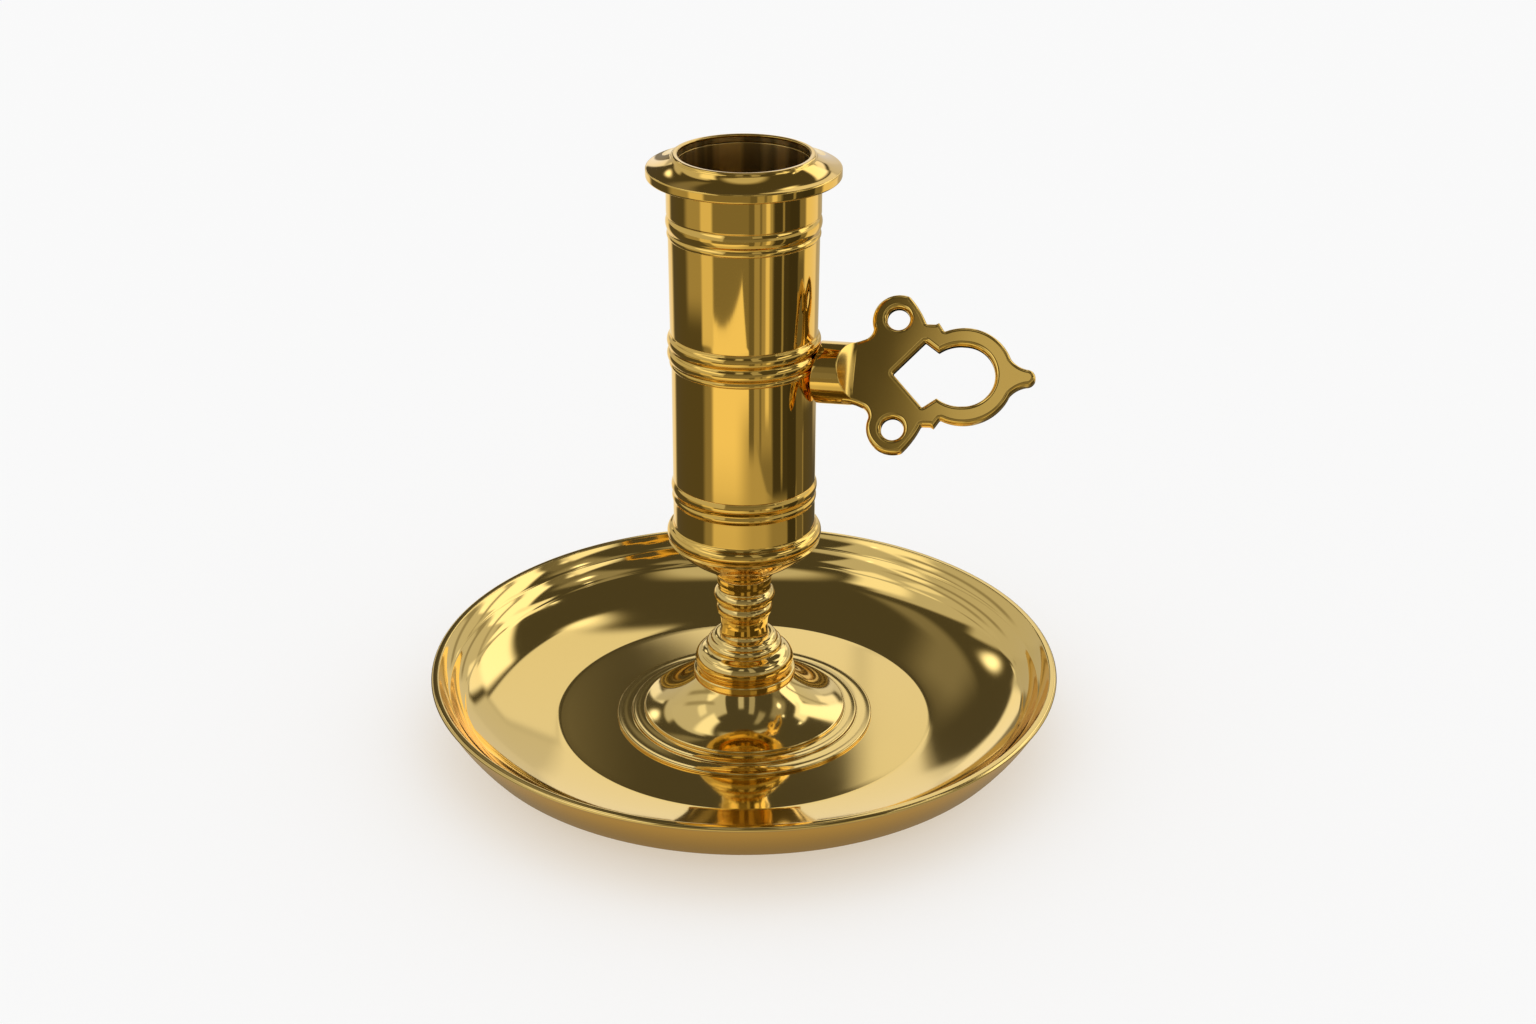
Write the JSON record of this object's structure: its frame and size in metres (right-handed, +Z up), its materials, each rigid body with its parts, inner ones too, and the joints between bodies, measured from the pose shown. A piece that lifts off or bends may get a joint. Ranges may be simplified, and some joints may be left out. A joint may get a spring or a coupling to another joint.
{
  "type": "chamberstick with finger loop",
  "caption": "Polished brass chamberstick: a tubular candle socket on a turned stem and trumpet foot, standing in a round drip pan, with a pierced finger loop on the side of the socket.",
  "frame": {"origin": "centre of the face that the pan stands on", "axes": "+Z up along the candle's axis; +X towards the finger loop; the loop's front face looks towards -Y and up"},
  "size_m": [0.115, 0.115, 0.1097],
  "materials": {
    "brass_pan": "polished",
    "brass_stem": "polished",
    "brass_socket": "polished",
    "brass_handle": "polished",
    "brass_fixings": "turned, not polished"
  },
  "bodies": {
    "root": {"drip_pan": "brass_pan", "tie_washer": "brass_fixings", "tie_nut": "brass_fixings", "tie_rod": "brass_fixings", "foot_dome": "brass_stem", "foot_ring": "brass_stem", "knop": "brass_stem", "stem_neck": "brass_stem", "socket_base": "brass_socket", "barrel_tube": "brass_socket", "middle_band": "brass_socket", "nozzle": "brass_socket", "finger_plate": "brass_handle", "handle_screw": "brass_fixings"}
  },
  "joints": []
}
